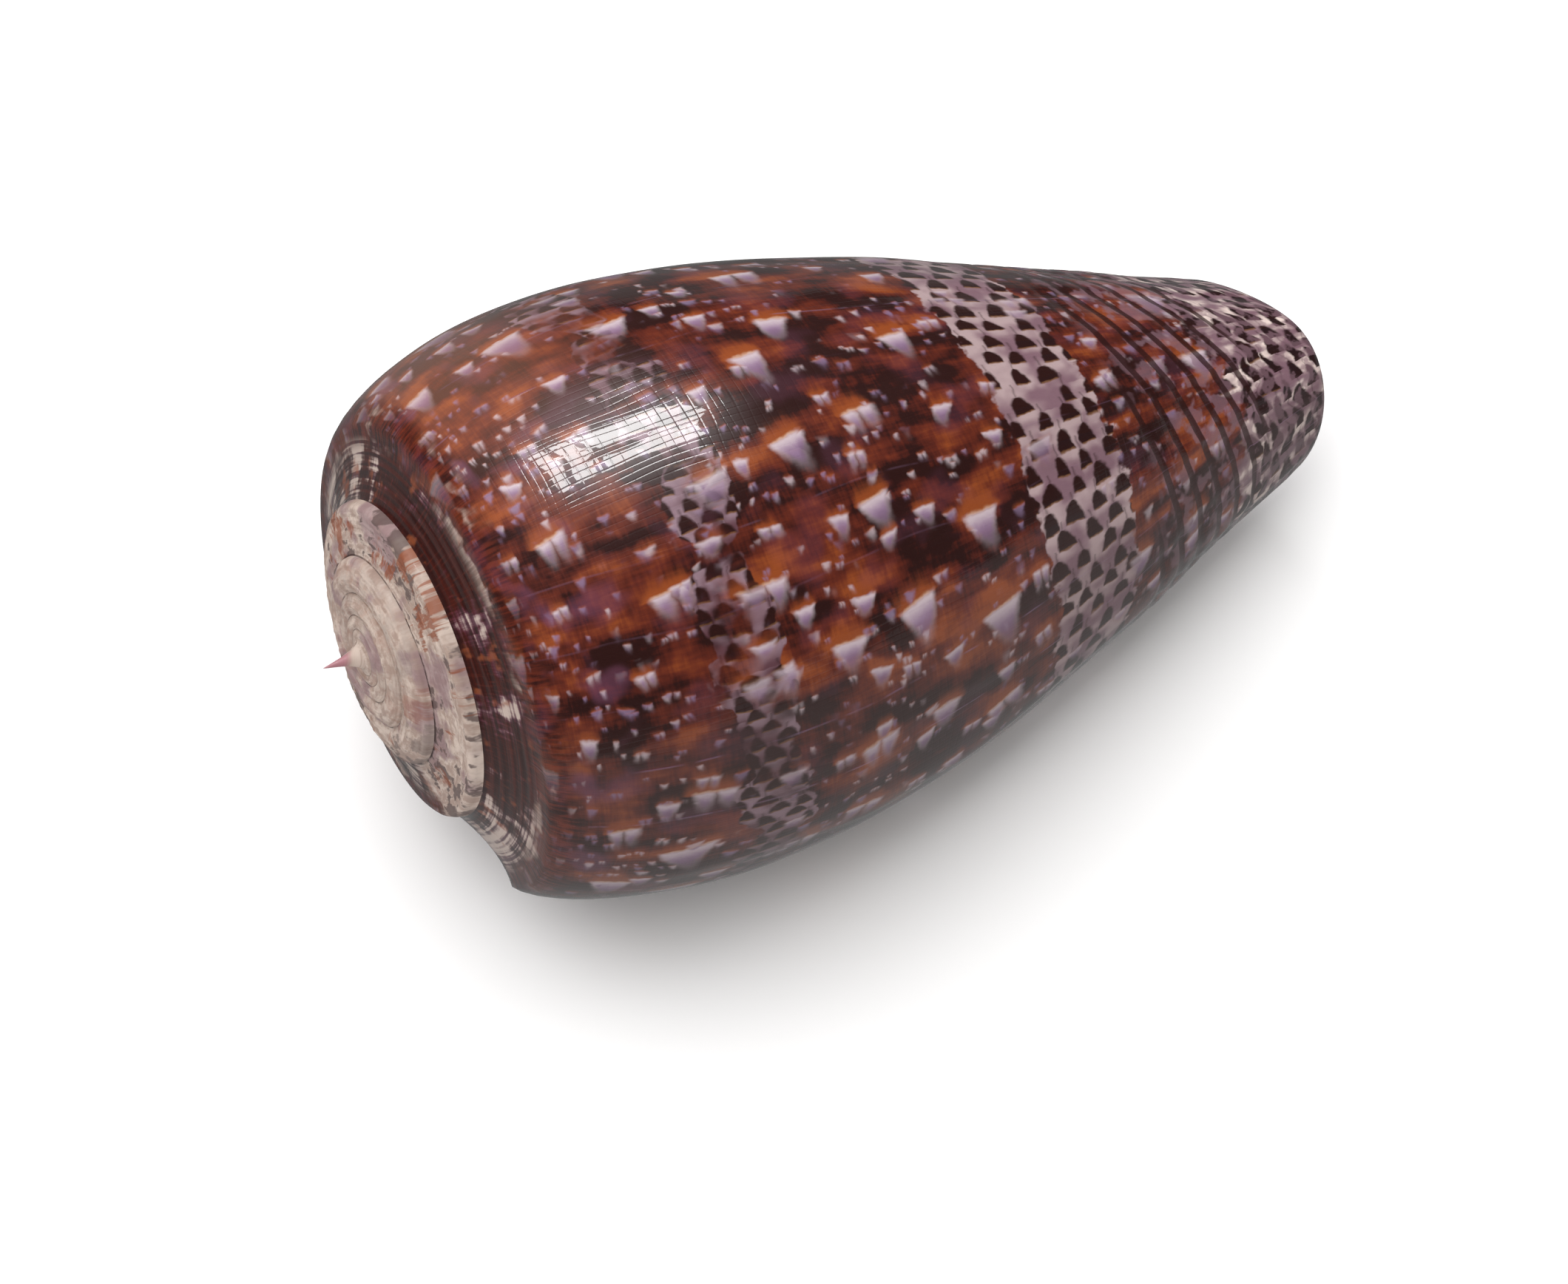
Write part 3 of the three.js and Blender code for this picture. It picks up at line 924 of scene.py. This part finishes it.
    # shoulder: darker, ribbed, with worn pale patches along the crest
    ribs = field(1.0, 19.0, 2.0, (4.0, 0.4))
    shoulder = smoothRemap(along, 3.6, 1.6) * smoothRemap(along, -3.0, -1.5)
    ribbed = mixColor(tree, smoothRemap(ribs, 0.35, 0.65), tint("darkest"), tint("redBrown"))
    color = mixColor(tree, shoulder * 0.7, color, ribbed)
    onCrest = smoothRemap(calc(tree, "ABSOLUTE", along + 1.5), 1.4, 0.2, 0.0, 0.12)
    worn = smoothRemap(field(0.22, 20.0, 3.0, (1.0, 1.2)) + onCrest, 0.6, 0.7)
    wornShade = mixColor(tree, smoothRemap(ribs, 0.4, 0.6), tint("bone"), tint("cream"))
    color = mixColor(tree, worn * smoothRemap(along, 3.5, 0.5) * 0.7, color, wornShade)

    # ramp of the last whorl: maroon threads, with paler flames towards the lip and the back
    cordlets = calc(tree, "SINE", (station + field(0.2, 30.0, 1.0) * 0.06) * 50.0) * 0.5 + 0.5
    threads = field(1.0, 21.0, 2.0, (0.12, 5.5), 0.5, spire)
    flames = field(0.42, 22.0, 3.0, (1.0, 0.8), 0.55, spire)
    wrinkles = field(1.0, 23.0, 2.0, (5.0, 0.9), 0.6, spire)
    grain = (threads - 0.5) * 0.25 + (wrinkles - 0.5) * 0.2
    threaded = threads + (cordlets - 0.5) * 0.1
    ramp = mixColor(tree, smoothRemap(threaded, 0.4, 0.66), tint("darkest"), tint("maroon"))
    ramp = mixColor(tree, smoothRemap(wrinkles, 0.5, 0.7) * 0.35, ramp, tint("redBrown"))
    ramp = mixColor(tree, smoothRemap(flames + grain, 0.5, 0.66) * 0.55, ramp, tint("plum"))
    toLip = smoothRemap(angle, -1.2, -0.4, 0.0, 0.1)
    toBack = smoothRemap(angle, -2.6, -3.4, 0.0, 0.16)
    flame = flames + grain * 0.6 + toLip + toBack
    flameShade = mixColor(tree, smoothRemap(threads + flame - 0.62, 0.4, 0.66), tint("bandDim"),
                          tint("cream"))
    ramp = mixColor(tree, smoothRemap(flame, 0.56, 0.68) * 0.85, ramp, flameShade)
    rusty = field(0.7, 24.0, 2.0, spot=spire) + toBack * 0.4 + grain * 0.3
    ramp = mixColor(tree, smoothRemap(rusty, 0.6, 0.72) * 0.7, ramp, tint("rust"))

    # early whorls: worn to cream and pink, with grey pits and rusty flecks
    mottle = field(1.1, 25.0, 3.0, (1.0, 2.2), 0.6, spire)
    early = mixColor(tree, smoothRemap(mottle + grain, 0.36, 0.64), tint("bone"), tint("cream"))
    mauve = field(0.35, 26.0, 2.0, spot=spire) + grain * 0.5
    early = mixColor(tree, smoothRemap(mauve, 0.52, 0.62) * 0.6, early, tint("bandLow"))
    fade = smoothRemap(angle, -11.5, -15.0, 1.0, 0.25)
    pits = smoothRemap(field(0.38, 27.0, 2.0, spot=spire) + (mottle - 0.5) * 0.8, 0.54, 0.62)
    early = mixColor(tree, pits * fade * 0.85, early, tint("greyPit"))
    flecks = smoothRemap(field(0.6, 28.0, 2.0, spot=spire) + (wrinkles - 0.5) * 0.5, 0.57, 0.67)
    early = mixColor(tree, flecks * fade * 0.8, early, tint("rust"))
    spireColor = mixColor(tree, smoothRemap(angle, -6.0, -6.5), ramp, early)
    crack = (smoothRemap(station, -0.985, -0.94, 1.0, 0.0) * smoothRemap(mottle, 0.35, 0.55)
             * smoothRemap(angle, -34.5, -33.0))
    spireColor = mixColor(tree, crack * 0.85, spireColor, tint("darkest"))
    nub = smoothRemap(angle, apexAngle - 0.6, apexAngle - 2.0)
    spireColor = mixColor(tree, nub, spireColor, tint("pink"))
    onSide = smoothRemap(station, -0.42, -0.12) * smoothRemap(angle, -6.4, -6.25)
    color = mixColor(tree, onSide, spireColor, color)
    color = mixColor(tree, smoothRemap(inside, 0.3, 0.9), color, tint("lining"))
    feed(tree, color, shader.inputs["Base Color"])

    # fine relief: growth lines, spiral striae, pitting on the worn whorls
    def linesAt(place, half):
        return smoothRemap(calc(tree, "ABSOLUTE", calc(tree, "FRACT", place) - 0.5), half, 0.0)

    growthLines = linesAt(angle * bodyRun / 0.42 + field(1.0, 29.0, 1.0, (0.6, 0.12)) * 3.0, 0.16)
    striae = linesAt(along / 0.5 + field(1.0, 16.0, 1.0, (0.1, 0.5)) * 3.0, 0.14)
    bodyRelief = line * 0.5 - growthLines * field(0.5, 32.0) * 0.24 - striae * field(0.4, 33.0) * 0.2
    spireRelief = mottle * 0.7 + cordlets * 0.8 + threads * 0.8 + wrinkles * 0.25
    bump = tree.nodes.new("ShaderNodeBump")
    bump.inputs["Distance"].default_value = glaze["reliefDepth"]
    bump.inputs["Strength"].default_value = glaze["relief"]
    feed(tree, blend(spireRelief, bodyRelief, onSide), bump.inputs["Height"])
    tree.links.new(bump.outputs[0], shader.inputs["Normal"])
    tree.links.new(bump.outputs[0], shader.inputs["Coat Normal"])
    old = smoothRemap(angle, -5.8, -6.5)
    feed(tree, blend(glaze["roughness"], glaze["wornRoughness"], old), shader.inputs["Roughness"])
    shader.inputs["IOR"].default_value = glaze["ior"]
    feed(tree, blend(glaze["coat"], glaze["wornCoat"], old), shader.inputs["Coat Weight"])
    shader.inputs["Coat Roughness"].default_value = glaze["coatRoughness"]
    return material


shellMaterial = makeShellMaterial()
print("glaze mixed")

# how the shell lies: degrees, and the depth in metres worn off where it rests
rest = {"axisDip": 10.05, "bodyTurn": 210.6, "worn": 0.00018}


def growShell():
    carrier = bpy.data.objects.new("shellCarrier", bpy.data.meshes.new("shellCarrier"))
    bpy.context.scene.collection.objects.link(carrier)
    modifier = carrier.modifiers.new("growth", "NODES")
    tree = shellTree()
    modifier.node_group = tree
    for item in tree.interface.items_tree:
        if item.in_out == "INPUT" and item.name in growth:
            modifier[item.identifier] = growth[item.name]
    bpy.context.view_layer.update()
    evaluated = carrier.evaluated_get(bpy.context.evaluated_depsgraph_get())
    mesh = bpy.data.meshes.new_from_object(evaluated)
    carrier.modifiers.remove(modifier)
    bpy.data.objects.remove(carrier)

    # lay it on its aperture, over the middle of the CAD solid's box
    turn = (Matrix.Rotation(math.radians(90 + rest["axisDip"]), 4, "Y")
            @ Matrix.Rotation(math.radians(rest["bodyTurn"]), 4, "Z") @ Matrix.Scale(0.001, 4))
    mesh.transform(turn)
    low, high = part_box(shellNode)
    xs = [v.co.x for v in mesh.vertices]
    ys = [v.co.y for v in mesh.vertices]
    zs = [v.co.z for v in mesh.vertices]
    shift = Vector(((low[0] + high[0] - min(xs) - max(xs)) / 2,
                    (low[1] + high[1] - min(ys) - max(ys)) / 2, low[2] - min(zs) - rest["worn"]))
    mesh.transform(Matrix.Translation(shift))
    for vertex in mesh.vertices:
        vertex.co.z = max(vertex.co.z, low[2])
    for polygon in mesh.polygons:
        polygon.use_smooth = True
    piece = bpy.data.objects.new("coneShell", mesh)
    bpy.context.scene.collection.objects.link(piece)
    return piece


coneShell = growShell()
print("shell grown:", len(coneShell.data.polygons), "faces")
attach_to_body(coneShell, "root")
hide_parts(shellNode)


# floor, light and camera
room = {
    "floorSize": 0.5,
    "floorColor": (0.96, 0.96, 0.96, 1),
    "paneHeight": 0.6,
    # tangents of the angle from straight up, seen from the place on the shell that mirrors the window
    "paneEdges": ((-0.038, 0.039), (0.074, 0.177), (0.22, 0.565)),
    "paneReach": (0.225, 0.575),
    "paneTurn": 11,
    "paneMiddle": (0.3, 0.4, 0),
    "mirrorSpot": (-0.012, 0, 0.029),
    "paneGlow": 15.0,
    "softLights": (     # name, place, size, glow
        ("softKey", (-0.08, 0.24, 0.7), (1.1, 1.1), 2.2),
        ("softFill", (-0.5, -0.5, 0.5), (0.9, 0.9), 0.42),
    ),
    "ambient": 0.56,
    "ambientColor": (1, 0.985, 0.97, 1),
    "mirrored": 0.025,  # how bright the room looks in the glaze
    "cards": (          # stretches of floor that show in the glaze: glow, x from, to, y from, to
        (0.19, -0.1, 0.3, -0.2, 0.0),
        (0.12, -0.2, 0.3, 0.0, 0.4),
    ),
    "backdrop": 0.95,
}


def makeFloor():
    bpy.ops.mesh.primitive_plane_add(size=room["floorSize"])
    floor = bpy.context.object
    floor.name = "floor"
    material = bpy.data.materials.new("paleFloor")
    material.use_nodes = True
    shader = material.node_tree.nodes["Principled BSDF"]
    shader.inputs["Base Color"].default_value = room["floorColor"]
    shader.inputs["Roughness"].default_value = 0.7
    shader.inputs["Specular IOR Level"].default_value = 0.2
    floor.data.materials.append(material)
    floor.visible_glossy = False
    for i, (glow, left, right, near, far) in enumerate(room["cards"]):
        spot = Vector(((left + right) / 2, (near + far) / 2, 0.0004))
        card = addLight("floorGlow%d" % i, spot, spot, (right - left, far - near), glow, True)
        card.rotation_euler = (math.pi, 0, 0)


def addLight(name, place, aim, size, glow, inGlaze):
    data = bpy.data.lights.new(name, "AREA")
    data.shape = "RECTANGLE"
    data.size, data.size_y = size
    data.energy = glow * math.pi * size[0] * size[1]
    light = bpy.data.objects.new(name, data)
    light.location = place
    light.rotation_euler = (Vector(aim) - Vector(place)).to_track_quat("-Z", "Y").to_euler()
    light.visible_diffuse = not inGlaze  # a light either softens the shading or shows in the glaze
    light.visible_glossy = inGlaze
    light.visible_camera = False
    bpy.context.scene.collection.objects.link(light)
    return light


def makeWindow():
    height = room["paneHeight"]
    low, high = room["paneReach"]
    turn = Matrix.Rotation(math.radians(room["paneTurn"]), 3, "Z")
    middle = Vector(room["paneMiddle"])
    for i, (left, right) in enumerate(room["paneEdges"]):
        offset = turn @ (Vector(((left + right) / 2, (low + high) / 2, 0)) - middle) + middle
        spot = Vector(room["mirrorSpot"]) + Vector((offset.x, offset.y, 1)) * height
        size = ((right - left) * height, (high - low) * height)
        pane = addLight("windowPane%d" % i, spot, spot - Vector((0, 0, 1)), size, room["paneGlow"], True)
        pane.rotation_euler = (0, 0, math.radians(room["paneTurn"]))


def makeRoom():
    world = bpy.data.worlds.new("room")
    world.use_nodes = True
    tree = world.node_tree
    background = tree.nodes["Background"]
    background.inputs["Color"].default_value = room["ambientColor"]
    path = tree.nodes.new("ShaderNodeLightPath")
    glossy = nodeValue(tree, path.outputs["Is Glossy Ray"])
    seen = nodeValue(tree, path.outputs["Is Camera Ray"])
    strength = blend(blend(glossy * 0.0 + room["ambient"], room["mirrored"], glossy),
                     room["backdrop"], seen)
    feed(tree, strength, background.inputs["Strength"])
    bpy.context.scene.world = world


cameraSet = {"aim": (-0.0054, -0.0059, 0.0115), "distance": 0.42525, "elevation": 58.87,
             "azimuth": 22.34, "roll": -4.895, "lens": 188.2}


def makeCamera():
    data = bpy.data.cameras.new("camera")
    data.lens = cameraSet["lens"]
    data.sensor_width = 36
    data.clip_start = 0.01
    camera = bpy.data.objects.new("camera", data)
    elevation = math.radians(cameraSet["elevation"])
    azimuth = math.radians(cameraSet["azimuth"])
    look = Vector((math.cos(elevation) * math.sin(azimuth), math.cos(elevation) * math.cos(azimuth),
                   -math.sin(elevation)))
    camera.location = Vector(cameraSet["aim"]) - look * cameraSet["distance"]
    turn = look.to_track_quat("-Z", "Y").to_matrix().to_4x4()
    camera.matrix_world = (Matrix.Translation(camera.location) @ turn
                           @ Matrix.Rotation(math.radians(cameraSet["roll"]), 4, "Z"))
    bpy.context.scene.collection.objects.link(camera)
    bpy.context.scene.camera = camera


makeFloor()
makeWindow()
for name, spot, size, glow in room["softLights"]:
    addLight(name, spot, (0, 0, 0), size, glow, False)
makeRoom()
makeCamera()
bpy.context.scene.view_settings.view_transform = "Standard"
print("room lit")
